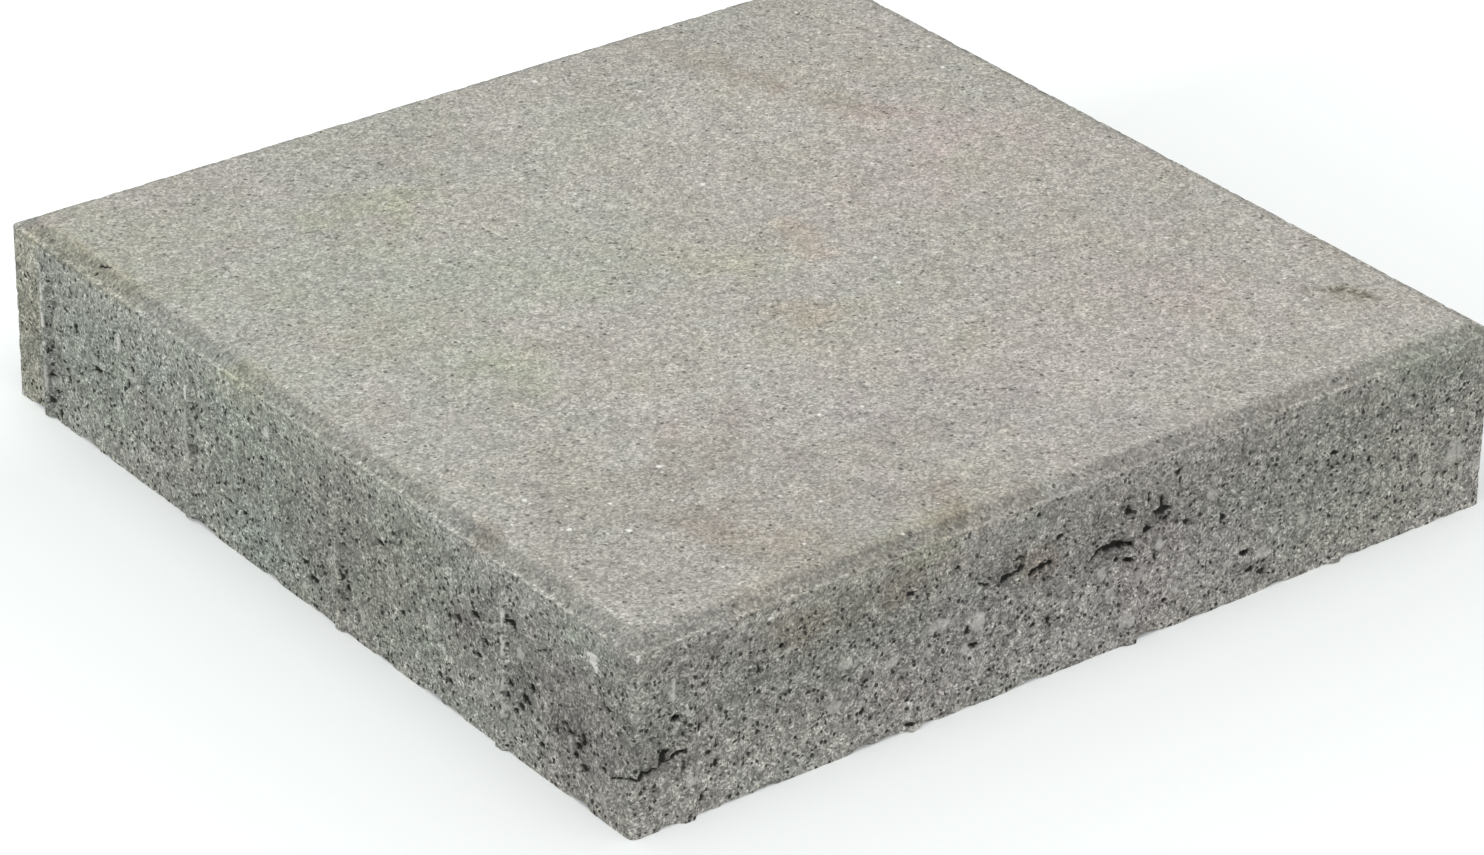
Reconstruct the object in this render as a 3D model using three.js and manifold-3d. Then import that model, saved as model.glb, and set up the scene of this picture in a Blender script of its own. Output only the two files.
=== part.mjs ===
// Square concrete paving slab, pressed in a mould and cured in one piece.
//
// Millimetres, +Z up. The origin is the centre of the bed face, so the slab stands on z = 0.
// The wearing face is at the top. The stamp that presses it leaves a chamfer all round it,
// and a narrow level ledge outside the chamfer, where the stamp clears the mould wall.
// Each side carries upright spacer nibs, which keep a joint open between laid slabs. Seen from
// outside they are set off from the left-hand corner, so the nibs of two neighbours miss each other.

import * as THREE from 'three';
import { mergeVertices } from 'three/addons/utils/BufferGeometryUtils.js';
import Module from 'manifold-3d';

// Slab
const SLAB_WIDTH = 400; // along X, over the plain sides, without the nibs
const SLAB_DEPTH = 400; // along Y, over the plain sides, without the nibs
const SLAB_THICKNESS = 77;
const MOULD_CORNER_RADIUS = 3; // upright corners of the mould

// Edge of the wearing face
const LEDGE_WIDTH = 1.6; // level strip between the side and the foot of the chamfer
const CHAMFER_WIDTH = 5.9;
const CHAMFER_DROP = 4.2; // height of the wearing face above the ledge
const ARRIS_RADIUS = 2.5; // rounding where the chamfer meets the wearing face
const STAMP_CORNER_RADIUS = 3; // corners of the chamfer, from its foot to the wearing face

// Spacer nibs
const NIB_FIRST_OFFSET = 24; // centre of the first nib from the left-hand corner, seen from outside
const NIB_PITCH = 100;
const NIB_PROUD = 1.5; // height of the crest above the side
const NIB_BASE_WIDTH = 8;
const NIB_CREST_WIDTH = 4; // between the points where the flanks would meet the flat crest
const NIB_CREST_ROUNDING = 0.5; // taken off each edge of the crest
const NIB_START_DEPTH = 10; // below the wearing face, where the nib leaves the side
const NIB_RUN_OUT = 12; // height over which it grows to its full section
const NIB_LAST_CLEARANCE = 20; // least distance from the last nib's centre to the next corner
const NIB_ROOT = 2; // how far the nib's own solid reaches into the slab before they are joined

// Smoothness of the curves
const CORNER_SEGMENTS = 6;
const ARRIS_SEGMENTS = 3;
const NIB_SEGMENTS = 3;

const concrete = new THREE.MeshStandardMaterial({
  color: 0x9b9993,
  roughness: 0.93,
  metalness: 0,
});

// The section through the side and the edge of the wearing face: x is the distance in from the
// side and y the height, followed from the bed face up to the start of the level top.
function edgeSection() {
  const ledgeHeight = SLAB_THICKNESS - CHAMFER_DROP;
  const slope = Math.atan2(CHAMFER_DROP, CHAMFER_WIDTH);
  const tangentLength = ARRIS_RADIUS * Math.tan(slope / 2);
  const topInset = LEDGE_WIDTH + CHAMFER_WIDTH;

  const section = new THREE.Path();
  section.moveTo(0, 0);
  section.lineTo(0, ledgeHeight);
  section.lineTo(LEDGE_WIDTH, ledgeHeight);
  section.lineTo(
    topInset - tangentLength * Math.cos(slope),
    SLAB_THICKNESS - tangentLength * Math.sin(slope),
  );
  section.absarc(
    topInset + tangentLength,
    SLAB_THICKNESS - ARRIS_RADIUS,
    ARRIS_RADIUS,
    Math.PI / 2 + slope,
    Math.PI / 2,
    true,
  );
  return section.getPoints(ARRIS_SEGMENTS);
}

// A rectangle with rounded corners, as points that run anticlockwise seen from above.
function roundedOutline(width, depth, radius) {
  const corners = [
    [width / 2 - radius, depth / 2 - radius],
    [radius - width / 2, depth / 2 - radius],
    [radius - width / 2, radius - depth / 2],
    [width / 2 - radius, radius - depth / 2],
  ];
  return corners.flatMap(([x, y], quarter) =>
    Array.from({ length: CORNER_SEGMENTS + 1 }, (_, step) => {
      const angle = (quarter + step / CORNER_SEGMENTS) * (Math.PI / 2);
      return new THREE.Vector2(x + radius * Math.cos(angle), y + radius * Math.sin(angle));
    }),
  );
}

// A closed solid through level rings that hold the same number of points, lowest ring first.
function loft(rings) {
  const count = rings[0].length;
  const positions = rings.flatMap((ring) => ring.flatMap((point) => point.toArray()));
  const indices = [];
  for (let level = 0; level < rings.length - 1; level++) {
    for (let i = 0; i < count; i++) {
      const a = level * count + i;
      const b = level * count + ((i + 1) % count);
      indices.push(a, b, b + count, a, b + count, a + count);
    }
  }
  const lastRing = (rings.length - 1) * count;
  const flat = rings[0].map((point) => new THREE.Vector2(point.x, point.y));
  for (const [a, b, c] of THREE.ShapeUtils.triangulateShape(flat, [])) {
    indices.push(a, c, b);
    indices.push(lastRing + a, lastRing + b, lastRing + c);
  }
  const geometry = new THREE.BufferGeometry();
  geometry.setAttribute('position', new THREE.Float32BufferAttribute(positions, 3));
  geometry.setIndex(indices);
  return geometry;
}

// The slab without its nibs: the edge section carried round the four sides.
function slabBody() {
  const rings = edgeSection().map(({ x: inset, y: height }) => {
    const radius = inset > 0 ? STAMP_CORNER_RADIUS : MOULD_CORNER_RADIUS;
    const outline = roundedOutline(SLAB_WIDTH - 2 * inset, SLAB_DEPTH - 2 * inset, radius);
    return outline.map((point) => new THREE.Vector3(point.x, point.y, height));
  });
  return loft(rings);
}

// The level section of one nib, standing on the line y = 0 and growing towards -y: straight
// flanks, a flat crest with eased edges, and a root behind the line.
function nibSection() {
  const base = NIB_BASE_WIDTH / 2;
  const crest = NIB_CREST_WIDTH / 2;
  const eased = NIB_CREST_ROUNDING;
  const flank = new THREE.Vector2(base - crest, NIB_PROUD).setLength(eased);

  const section = new THREE.Path();
  section.moveTo(-base, 0);
  section.lineTo(-crest - flank.x, -NIB_PROUD + flank.y);
  section.quadraticCurveTo(-crest, -NIB_PROUD, -crest + eased, -NIB_PROUD);
  section.lineTo(crest - eased, -NIB_PROUD);
  section.quadraticCurveTo(crest, -NIB_PROUD, crest + flank.x, -NIB_PROUD + flank.y);
  section.lineTo(base, 0);
  section.lineTo(base, NIB_ROOT);
  section.lineTo(-base, NIB_ROOT);
  return section.getPoints(NIB_SEGMENTS);
}

// One nib from the bed face up: full section, then a run-out where it sinks back into the side.
function nibSolid() {
  const section = nibSection();
  const runOutTop = SLAB_THICKNESS - NIB_START_DEPTH;
  const levels = [
    { height: 0, sunk: 0 },
    { height: runOutTop - NIB_RUN_OUT, sunk: 0 },
    { height: runOutTop, sunk: NIB_PROUD },
  ];
  const rings = levels.map(({ height, sunk }) =>
    section.map((point) => new THREE.Vector3(point.x, point.y + sunk, height)),
  );
  return loft(rings);
}

// Where the nibs stand: each side is turned into place from the front side, which faces -y.
function nibPlacements() {
  const sides = [
    { length: SLAB_WIDTH, distance: SLAB_DEPTH / 2, turn: 0 },
    { length: SLAB_DEPTH, distance: SLAB_WIDTH / 2, turn: Math.PI / 2 },
    { length: SLAB_WIDTH, distance: SLAB_DEPTH / 2, turn: Math.PI },
    { length: SLAB_DEPTH, distance: SLAB_WIDTH / 2, turn: -Math.PI / 2 },
  ];
  return sides.flatMap(({ length, distance, turn }) => {
    const room = length - NIB_FIRST_OFFSET - NIB_LAST_CLEARANCE;
    const count = Math.floor(room / NIB_PITCH) + 1;
    return Array.from({ length: count }, (_, index) => {
      const along = NIB_FIRST_OFFSET + index * NIB_PITCH - length / 2;
      return new THREE.Matrix4()
        .makeRotationZ(turn)
        .multiply(new THREE.Matrix4().makeTranslation(along, -distance, 0));
    });
  });
}

const wasm = await Module();
wasm.setup();

function toManifold(geometry) {
  const bare = geometry.clone();
  bare.deleteAttribute('normal');
  bare.deleteAttribute('uv');
  const merged = mergeVertices(bare, 1e-4);
  return new wasm.Manifold(
    new wasm.Mesh({
      numProp: 3,
      vertProperties: new Float32Array(merged.attributes.position.array),
      triVerts: new Uint32Array(merged.index.array),
    }),
  );
}

function toGeometry(solid) {
  const mesh = solid.getMesh();
  const geometry = new THREE.BufferGeometry();
  geometry.setAttribute('position', new THREE.BufferAttribute(mesh.vertProperties, 3));
  geometry.setIndex(new THREE.BufferAttribute(mesh.triVerts, 1));
  geometry.computeVertexNormals();
  return geometry;
}

function pavingSlab() {
  const nib = nibSolid();
  const solid = nibPlacements().reduce(
    (slab, placement) => slab.add(toManifold(nib.clone().applyMatrix4(placement))),
    toManifold(slabBody()),
  );
  const mesh = new THREE.Mesh(toGeometry(solid), concrete);
  mesh.name = 'paving_slab';
  return mesh;
}

const part = new THREE.Group();
part.add(pavingSlab());

export default part;
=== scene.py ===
"""Concrete paving slab: square, vibro-pressed, with a stamped edge and spacer nibs on its four sides."""

import functools
import itertools
import math
import random

import bmesh
import bpy
import numpy as np
from mathutils import Matrix, Vector, noise


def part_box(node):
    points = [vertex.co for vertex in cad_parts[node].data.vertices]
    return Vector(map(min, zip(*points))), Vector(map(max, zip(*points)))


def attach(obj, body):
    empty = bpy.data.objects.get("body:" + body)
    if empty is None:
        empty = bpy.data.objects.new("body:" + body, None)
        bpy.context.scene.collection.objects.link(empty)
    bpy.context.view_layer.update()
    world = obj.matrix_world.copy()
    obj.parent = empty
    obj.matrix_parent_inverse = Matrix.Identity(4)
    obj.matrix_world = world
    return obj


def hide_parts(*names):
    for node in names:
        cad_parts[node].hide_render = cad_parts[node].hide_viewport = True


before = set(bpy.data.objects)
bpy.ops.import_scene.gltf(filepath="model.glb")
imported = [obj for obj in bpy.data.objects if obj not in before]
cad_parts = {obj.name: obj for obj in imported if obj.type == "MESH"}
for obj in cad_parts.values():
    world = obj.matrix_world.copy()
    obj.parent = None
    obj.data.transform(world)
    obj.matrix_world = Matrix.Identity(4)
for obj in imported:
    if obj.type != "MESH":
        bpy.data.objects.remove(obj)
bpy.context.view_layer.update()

bl_info = {
    "name": "Concrete paving slab",
    "version": (1, 0, 0),
    "blender": (4, 5, 0),
    "location": "View3D > Sidebar > Paving",
    "description": "A pressed concrete slab with a stamped edge and spacer nibs",
    "category": "Add Mesh",
}

MM = 0.001
NODE = "paving_slab"
LOW, HIGH = (Vector(corner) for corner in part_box(NODE))
SIDES = 4
NIB = 1.5  # mm that a spacer nib stands out from the plain side
NEAR = 1e-5
SHARP_ABOVE = 55  # degrees between two faces
MOST_TRIANGLES = 200000
LEAST_WEIGHT = 0.001
TOP_BAND = 6 * MM  # how far down the wearing face's own marks reach
UNPLANNED_HOLLOWS = ((0, 30, 1.0), (3, 30, 1.0), (1, 50, 1.6), (2, 50, 1.6))  # side, how many, widest in mm

FLOOR_SIZE = 40
PAINT_SEEN = (0.775, 0.80, 0.795)
GLOW_COLOUR = (0.97, 1.0, 0.99)
GLOW_CENTRE = 0.02  # in x
GLOW_AROUND = (0.22, 0.50, 0.232, 0.358)  # from and to in metres from the centre, strength there
GLOW_BEHIND = (0.13, 0.21, 0.0, 0.13)  # from and to in y, strength there
LAMP_SIZE = 1.4
LAMP_PLACE = (-0.34, -0.42, 1.7)
CAMERA_PLACE = (-1.153, -1.474, 1.027)
CAMERA_ANGLES = (51.94, 28.56, 0.99)  # heading, dip below the horizon and roll, in degrees
CLIP_START = 0.01
SENSOR_WIDTH = 36  # mm


# --- properties


def linear(code):
    """An sRGB hex colour such as "9C9A93" as linear red, green and blue."""
    levels = (int(code[i : i + 2], 16) / 255 for i in (0, 2, 4))
    return tuple(v / 12.92 if v <= 0.04045 else ((v + 0.055) / 1.055) ** 2.4 for v in levels)


def size_of(name, description, mm, low=0.0):
    """A length property whose default is given in millimetres."""
    limits = {"default": mm * MM, "min": low * MM, "precision": 5, "subtype": "DISTANCE", "unit": "LENGTH"}
    return bpy.props.FloatProperty(name=name, description=description, **limits)


def colour_of(name, description, code):
    """A colour property whose default is given as an sRGB hex code."""
    limits = {"default": linear(code), "min": 0.0, "max": 1.0, "size": 3, "subtype": "COLOR"}
    return bpy.props.FloatVectorProperty(name=name, description=description, **limits)


def number_of(name, description, value, low=0.0, **limits):
    """A plain number property."""
    return bpy.props.FloatProperty(name=name, description=description, default=value, min=low, **limits)


class SlabShape(bpy.types.PropertyGroup):
    """Sizes of the slab and how fine its mesh is."""

    nib_proud: size_of("Nib height", "How far a spacer nib stands out from the side", NIB)
    width: size_of("Width", "Side of the square, nibs left out", (HIGH.x - LOW.x) / MM - 2 * NIB)
    thickness: size_of("Thickness", "From the bed to the wearing face", (HIGH.z - LOW.z) / MM)
    corner_radius: size_of("Corner radius", "Rounding of the upright corners", 3.0)
    ledge_width: size_of("Ledge width", "Flat step that the stamp leaves round the edge", 1.6)
    chamfer_width: size_of("Chamfer width", "Chamfer seen from above", 5.9)
    chamfer_drop: size_of("Chamfer drop", "Height of the chamfer", 4.2)
    arris_width: size_of("Arris width", "Rounding between the chamfer and the wearing face", 1.7)
    nib_offset: size_of("First nib", "From a side's left-hand corner to its first nib", 24.0)
    nib_pitch: size_of("Nib pitch", "From one nib to the next", 100.0)
    nib_base: size_of("Nib base", "Width of a nib where it leaves the side", 8.0)
    nib_crest: size_of("Nib crest", "Width of a nib's flat crest", 4.0)
    nib_start: size_of("Nib start", "Depth below the wearing face at which a nib begins", 10.0)
    nib_run_out: size_of("Nib run-out", "Length over which a nib rises to its full height", 12.0)
    side_pitch: size_of("Side mesh", "Size of a mesh face on the sides", 1.75, 0.8)
    face_pitch: size_of("Wearing-face mesh", "Size of a mesh face on top", 3.2, 1.5)
    bed_pitch: size_of("Bed mesh", "Size of a mesh face underneath", 8.0, 3.0)


class SlabRelief(bpy.types.PropertyGroup):
    """How uneven the concrete is."""

    wave: size_of("Waves", "Slow unevenness of the sides", 0.9)
    lump: size_of("Lumps", "Coarse stones that show through the sides", 0.8)
    pore: size_of("Pores", "Depth of the open pores in the sides", 0.9)
    grit: size_of("Grit", "Fine roughness of the sides", 0.5)
    face_wave: size_of("Face waves", "Slow unevenness of the wearing face", 0.35)
    edge_wear: size_of("Edge wear", "Small losses along the stamped edge", 0.5)
    bed_pit: size_of("Bed pits", "Roughness of the bed face", 1.2)
    seed: bpy.props.IntProperty(name="Seed", description="Moves the unplanned marks", default=7, min=0)


class ConcreteFinish(bpy.types.PropertyGroup):
    """Colours and grain of the concrete."""

    face_warm: colour_of("Face, warm", "Wearing face where the cement skin is warm", "B8B3AC")
    face_cool: colour_of("Face, cool", "Wearing face where the cement skin is greenish", "B2B2AA")
    # The sides' darker grey is partly their open mix and partly painted shade of their rough surface.
    side_warm: colour_of("Side, warm", "Open sides where the mix is neutral", "A6A39E")
    side_cool: colour_of("Side, cool", "Open sides where the mix is cool and greenish", "A0A49D")
    straw: colour_of("Straw tint", "What the yellowish patches multiply the grey by", "FAF8EC")
    # Painted shade that fills the open pores and the sunk hollows.
    pore_shade: colour_of("Pore", "Depth of a pore", "3E3E3B")
    # This colour also paints the highlights along the nibs' crests.
    pale_stone: colour_of("Pale stone", "White and pale stones in the mix", "FAF9F4")
    ochre_stone: colour_of("Ochre stone", "Ochre stones in the mix", "A9967A")
    sand: size_of("Sand", "Grain of the sand that shows on the wearing face", 0.9, 0.2)
    gravel: size_of("Gravel", "Grain of the stones that show on the sides", 2.6, 0.5)
    roughness: number_of("Roughness", "Roughness of bare concrete", 0.93, max=1.0, subtype="FACTOR")


class StageSetting(bpy.types.PropertyGroup):
    """Floor, light and camera."""

    floor: colour_of("Floor", "Pale studio floor", "F0F0EE")
    lamp: number_of("Lamp", "Power of the overhead soft lamp in watts", 13.0)
    fill: number_of("Fill", "Strength of the even light all round", 0.62)
    lens: number_of("Lens", "Focal length on a 36 mm sensor, in mm", 134.9, 10.0)


# --- mesh tools


def pick(kind, test):
    """Selects, in edit mode, only the verts, edges or faces for which test is true, and says how many."""
    bpy.ops.mesh.select_mode(type=kind[:-1].upper())
    bpy.ops.mesh.select_all(action="DESELECT")
    mesh = bpy.context.edit_object.data
    bm = bmesh.from_edit_mesh(mesh)
    chosen = [item for item in getattr(bm, kind) if test(item)]
    for item in chosen:
        item.select_set(True)
    bm.select_flush_mode()
    bmesh.update_edit_mesh(mesh)
    return len(chosen)


def turn(side):
    """Turns the front side, which faces -Y, into side 0, 1, 2 or 3, counted anticlockwise from above."""
    return Matrix.Rotation(math.radians(90 * side), 3, "Z")


def nib_centres(shape):
    """Places of the nibs along a side, from its left-hand corner seen from outside."""
    return [shape.nib_offset + shape.nib_pitch * i for i in range(4)]


def nib_lines(shape):
    """Places along a side where a nib's base or crest begins or ends."""
    halves = (-shape.nib_base / 2, -shape.nib_crest / 2, shape.nib_crest / 2, shape.nib_base / 2)
    return [centre + half for centre in nib_centres(shape) for half in halves]


def level_span(edge):
    """Length of a level edge measured along its side, and 0 for an edge that rises."""
    a, b = (v.co for v in edge.verts)
    return 0.0 if abs(a.z - b.z) > NEAR else max(abs(a.x - b.x), abs(a.y - b.y))


def side_of(point):
    """The side that a point belongs to."""
    for side in range(SIDES):
        local = turn(-side) @ point
        if -local.y >= abs(local.x):
            return side
    return 0


def block(shape):
    """The plain slab: box, ledge, chamfer, rounded corners and arris, open above and below."""
    body = shape.thickness - shape.chamfer_drop
    bpy.ops.mesh.primitive_plane_add(size=shape.width, enter_editmode=True)
    bpy.ops.mesh.extrude_region_move(TRANSFORM_OT_translate={"value": (0, 0, body)})
    bpy.ops.mesh.inset(thickness=shape.ledge_width, depth=0)
    bpy.ops.mesh.inset(thickness=shape.chamfer_width, depth=shape.chamfer_drop)

    def at_corner(edge):
        mitred = all(abs(abs(v.co.x) - abs(v.co.y)) < NEAR for v in edge.verts)
        return mitred and edge.calc_length() < shape.width / 2

    rounding = {"segments": 3, "profile": 0.5, "affect": "EDGES", "clamp_overlap": False}
    pick("edges", at_corner)
    bpy.ops.mesh.bevel(offset=shape.corner_radius, offset_type="ABSOLUTE", **rounding)
    pick("edges", lambda e: all(v.co.z > shape.thickness - NEAR for v in e.verts))
    bpy.ops.mesh.bevel(offset=shape.arris_width, offset_type="OFFSET", **rounding)
    pick("faces", lambda f: len(f.verts) > 4)
    bpy.ops.mesh.delete(type="ONLY_FACE")


def raise_nibs(shape):
    """Cuts the nibs' lines into the sides and moves their crests out."""
    half = shape.width / 2
    full, start = (shape.thickness - shape.nib_start - run for run in (shape.nib_run_out, 0.0))
    for side in range(SIDES):
        along = turn(side) @ Vector((1, 0, 0))

        def faces_side(face):
            centre = turn(-side) @ face.calc_center_median()
            return -centre.y > abs(centre.x) + 0.5 * MM

        for place in nib_lines(shape):
            pick("faces", faces_side)
            bpy.ops.mesh.bisect(plane_co=along * (place - half), plane_no=along)
    for level in (full, start):
        bpy.ops.mesh.select_all(action="SELECT")
        bpy.ops.mesh.bisect(plane_co=(0, 0, level), plane_no=(0, 0, 1))
    crests = [centre + s * shape.nib_crest / 2 for centre in nib_centres(shape) for s in (-1, 1)]
    for side in range(SIDES):

        def on_crest(vert):
            local = turn(-side) @ vert.co
            at_wall = local.y < NEAR - half and local.z < full + NEAR
            return at_wall and any(abs(local.x + half - place) < NEAR for place in crests)

        if not pick("verts", on_crest):
            raise RuntimeError("no nib crest was found")
        bpy.ops.transform.translate(value=turn(side) @ Vector((0, -shape.nib_proud, 0)))


def split_evenly(shape):
    """Divides the walls into even small faces: first along the sides, then up them."""
    half = shape.width / 2
    lines = [shape.corner_radius] + nib_lines(shape) + [shape.width - shape.corner_radius]
    columns = list(zip(lines, lines[1:]))

    def count_along(edge):
        span = level_span(edge)
        if span < 3 * MM:
            return 0
        middle = (edge.verts[0].co + edge.verts[1].co) / 2
        place = (turn(-side_of(middle)) @ middle).x + half
        for start, end in columns:
            if start < place < end and span > (end - start) / 2:
                return round((end - start) / shape.side_pitch)
        return 0

    for count in sorted({round((end - start) / shape.side_pitch) for start, end in columns}):
        if count > 1:
            pick("edges", lambda e: count_along(e) == count)
            bpy.ops.mesh.subdivide(number_cuts=count - 1)

    def rise(edge):
        return tuple(sorted(round(v.co.z / NEAR) for v in edge.verts))

    bm = bmesh.from_edit_mesh(bpy.context.edit_object.data)
    rows = {}
    for edge in bm.edges:
        low, high = rise(edge)
        if high - low > 10:
            rows[low, high] = max(rows.get((low, high), 0), edge.calc_length())
    for row, length in sorted(rows.items()):
        count = round(length / shape.side_pitch)
        if count > 1:
            pick("edges", lambda e: rise(e) == row)
            bpy.ops.mesh.subdivide(number_cuts=count - 1)


def close_level(shape, z, edge, pitch):
    """Closes the open top or bottom with an even grid, joined to the walls side by side."""
    half = shape.width / 2 - edge - pitch
    cells = round(2 * half / pitch)
    grid = {"x_subdivisions": cells, "y_subdivisions": cells, "size": 2 * half}
    bpy.ops.mesh.select_all(action="DESELECT")
    bpy.ops.mesh.primitive_grid_add(location=(0, 0, z), **grid)
    for side in range(SIDES):

        def open_chain(item):
            if not item.is_boundary or any(abs(v.co.z - z) > NEAR for v in item.verts):
                return False
            a, b = (turn(-side) @ v.co for v in item.verts)
            middle = (a + b) / 2
            inside = abs(a.y - b.y) < NEAR or abs(middle.x) < shape.width / 2 - 10 * MM
            return inside and -middle.y > abs(middle.x)

        pick("edges", open_chain)
        bpy.ops.mesh.bridge_edge_loops()
    pick("edges", lambda e: e.is_boundary and all(abs(v.co.z - z) < NEAR for v in e.verts))
    bpy.ops.mesh.fill_holes(sides=12)


# --- marks


def spot(shape, side, along, depth):
    """A point on a side: millimetres from its left-hand corner and below the wearing face."""
    place = Vector((along * MM - shape.width / 2, -shape.width / 2, shape.thickness - depth * MM))
    return turn(side) @ place


def each(table):
    """Every row of a table that is kept by side, with its side put first."""
    return [(side, *row) for side, rows in table.items() for row in rows]


# Hollows by side: mm along, mm deep below the face, half width, half height and depth in mm.
HOLLOWS = {
    3: (
        (25.5, 57.5, 2.2, 1.3, 2), (29.6, 64.5, 1.7, 1.1, 1.7), (26.5, 68.5, 1.7, 1.5, 1.1),
        (31.5, 72, 1.6, 1.1, 1), (24.5, 36, 0.9, 2.4, 1), (25, 47, 1, 2, 1.1), (44.5, 30.5, 1.6, 1.6, 1.5),
        (60, 41.5, 2.6, 1.3, 1.2), (85, 31, 1.7, 1.4, 1.4), (82, 38, 1, 1.8, 1), (129, 45, 0.9, 2.4, 0.9),
        (173, 29.5, 1.5, 1.2, 1.4), (151, 57, 1.6, 1.1, 1.4), (160, 58, 1.3, 1.1, 1.6),
        (200, 60, 1.6, 1, 1.4), (206, 64.5, 2.4, 1.4, 1.6), (226, 54, 1.4, 1.8, 1.4),
        (229, 58, 1, 1.4, 1.2), (249.5, 29.5, 2.2, 1.1, 1.4), (254, 56, 1.1, 1, 1.3),
        (263, 52, 1.4, 1, 1.2), (286, 66, 1.6, 1.1, 1.3), (292.5, 65.5, 1.5, 1.1, 1.4),
        (292.5, 39, 1.3, 1.6, 1.4), (298, 37.5, 2, 1.4, 1.4), (307.5, 31.2, 2.6, 1.2, 1.8),
        (314.5, 39.2, 1.8, 1.2, 1.8), (310, 46.5, 1.6, 1.1, 1.3), (330, 24.8, 2.6, 1.5, 1.7),
        (326.8, 54, 1.7, 1.3, 1.9), (329, 49, 1.4, 0.9, 1.2), (338.1, 51, 2.4, 1.7, 2.6),
        (341.8, 44.2, 1.5, 2, 2.2), (335, 55, 1.6, 1.2, 1.4), (332, 58.3, 1.4, 1, 1.6),
        (347.6, 64.3, 1.6, 1, 1.8), (356.5, 54, 1.2, 1.8, 1.4), (361.6, 48.7, 1.5, 1, 1.6),
        (369, 54.6, 2, 1.2, 2.4), (364.2, 51.5, 1.3, 1.5, 2), (371.6, 50.2, 1.5, 2.2, 2),
        (367, 58.5, 1.4, 1.8, 1.8), (372, 61.5, 2, 1.2, 1.4), (385.5, 31.3, 1.4, 1, 1.4),
        (383.5, 56.5, 1.4, 1, 1.4),
    ),
    0: (
        (18.2, 34.5, 1.9, 1.5, 2.2), (28.7, 41.7, 1, 1.4, 1.6), (35.9, 58.7, 1, 1.2, 1.4),
        (30.1, 70.7, 0.9, 1.3, 1.5), (4.4, 52.2, 1.2, 1.2, 1.8), (13.3, 46.6, 1.2, 1.2, 1.8),
        (12.8, 49.4, 1.1, 1.3, 2), (33, 53.5, 1.2, 1, 1.4), (26.5, 59.5, 1, 1.4, 1.3),
        (64, 22, 1.5, 1, 1.3), (100, 61, 1.1, 1.5, 1.4), (120, 21, 1.2, 0.9, 1.2), (121.5, 74, 2, 0.9, 1.2),
        (132.5, 70.5, 1, 1, 1.4), (147, 44.8, 1, 2, 1.8), (150, 51.6, 1.9, 1, 1.8),
        (177.5, 53.7, 1.4, 0.8, 1.6), (185.2, 54.2, 0.8, 1.5, 1.4), (188.4, 21.2, 1.6, 1.1, 1.6),
        (191.7, 22.9, 1, 0.8, 1.3), (178, 8.8, 1.3, 0.9, 1.6), (141.5, 17.6, 1.4, 0.8, 1.3),
        (215.7, 39.6, 1.4, 0.9, 1.6), (220.5, 41.2, 1.4, 1, 1.8), (220.1, 20.6, 0.8, 2, 1.3),
        (230, 18.9, 0.8, 2.2, 1.5), (236.6, 22.2, 1, 2.2, 1.9), (236.6, 26.3, 2.8, 1.8, 2.4),
        (238.6, 30.2, 1.1, 1.2, 1.8), (229.8, 31.9, 1.9, 1.3, 2.4), (226.1, 67.9, 0.8, 1.8, 1.4),
        (243.4, 12.6, 1.2, 1.3, 1.7), (244.6, 16.2, 0.9, 1.4, 1.2), (249, 35, 1.5, 1.1, 1.5),
        (234.5, 44.2, 0.8, 1.8, 1.5), (267, 39.5, 1.2, 1.3, 1.6), (240.3, 64.9, 1.3, 1.1, 1.5),
        (279, 58, 2, 1.3, 1.7), (282, 66, 2, 1.2, 1.6), (288, 69, 2, 1.2, 1.2), (289, 64.8, 1.6, 0.8, 0.9),
        (320, 29.5, 1.2, 0.9, 1.2), (339, 38, 1.1, 1.3, 1.2), (378, 26, 1.2, 1, 1.3),
    ),
}

# Tears left by the mould: width and depth in mm, then (side, mm along, mm deep) points.
TEARS = (
    (0.6, 1.1, ((3, 387.3, 57.9), (3, 392.6, 55.2), (3, 397.7, 53), (0, 1.6, 53.2))),
    (0.7, 2.2, ((0, 2.8, 53.8), (0, 4.2, 51.4), (0, 7.7, 52.6), (0, 8.4, 51.4), (0, 11.3, 52.1))),
    (0.9, 2.4, ((0, 11.3, 52.1), (0, 13, 50.1), (0, 13.9, 47.9), (0, 15.1, 46.3))),
    (0.6, 1.6, ((0, 13.6, 50.4), (0, 17.1, 50.3), (0, 18.6, 48.8), (0, 22.3, 47.7))),
    (1.6, 2.4, ((0, 162.1, 29.8), (0, 164.4, 28.9), (0, 168.9, 28.8), (0, 171.4, 27.1))),
    (0.6, 1.2, ((0, 167.3, 23.8), (0, 170, 23.4), (0, 172.8, 24.1))),
    (1.2, 2.4, ((0, 175.1, 31.8), (0, 176, 30.8), (0, 179.2, 30.3), (0, 185.2, 30.2))),
    (0.6, 1.2, ((0, 151, 27.2), (0, 155.7, 29.2))),
    (0.9, 1, ((0, 202.8, 36.7), (0, 203.7, 35.3), (0, 206.4, 33.8))),
    (1.5, 2.4, ((0, 206.4, 33.4), (0, 208.2, 32.8), (0, 212, 33.6))),
    (1.6, 2.8, ((0, 212, 33.6), (0, 215.8, 33.7), (0, 218, 34.2))),
    (0.8, 2.4, ((0, 218, 34.2), (0, 221.6, 35))),
    (0.5, 1, ((3, 56, 43.5), (3, 60, 41.5), (3, 64, 40.5))),
    (0.6, 1.2, ((3, 196, 58.5), (3, 201, 60.5), (3, 207, 65))),
    (0.6, 1.1, ((3, 346, 27), (3, 350, 25.5), (3, 353, 26))),
)
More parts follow.
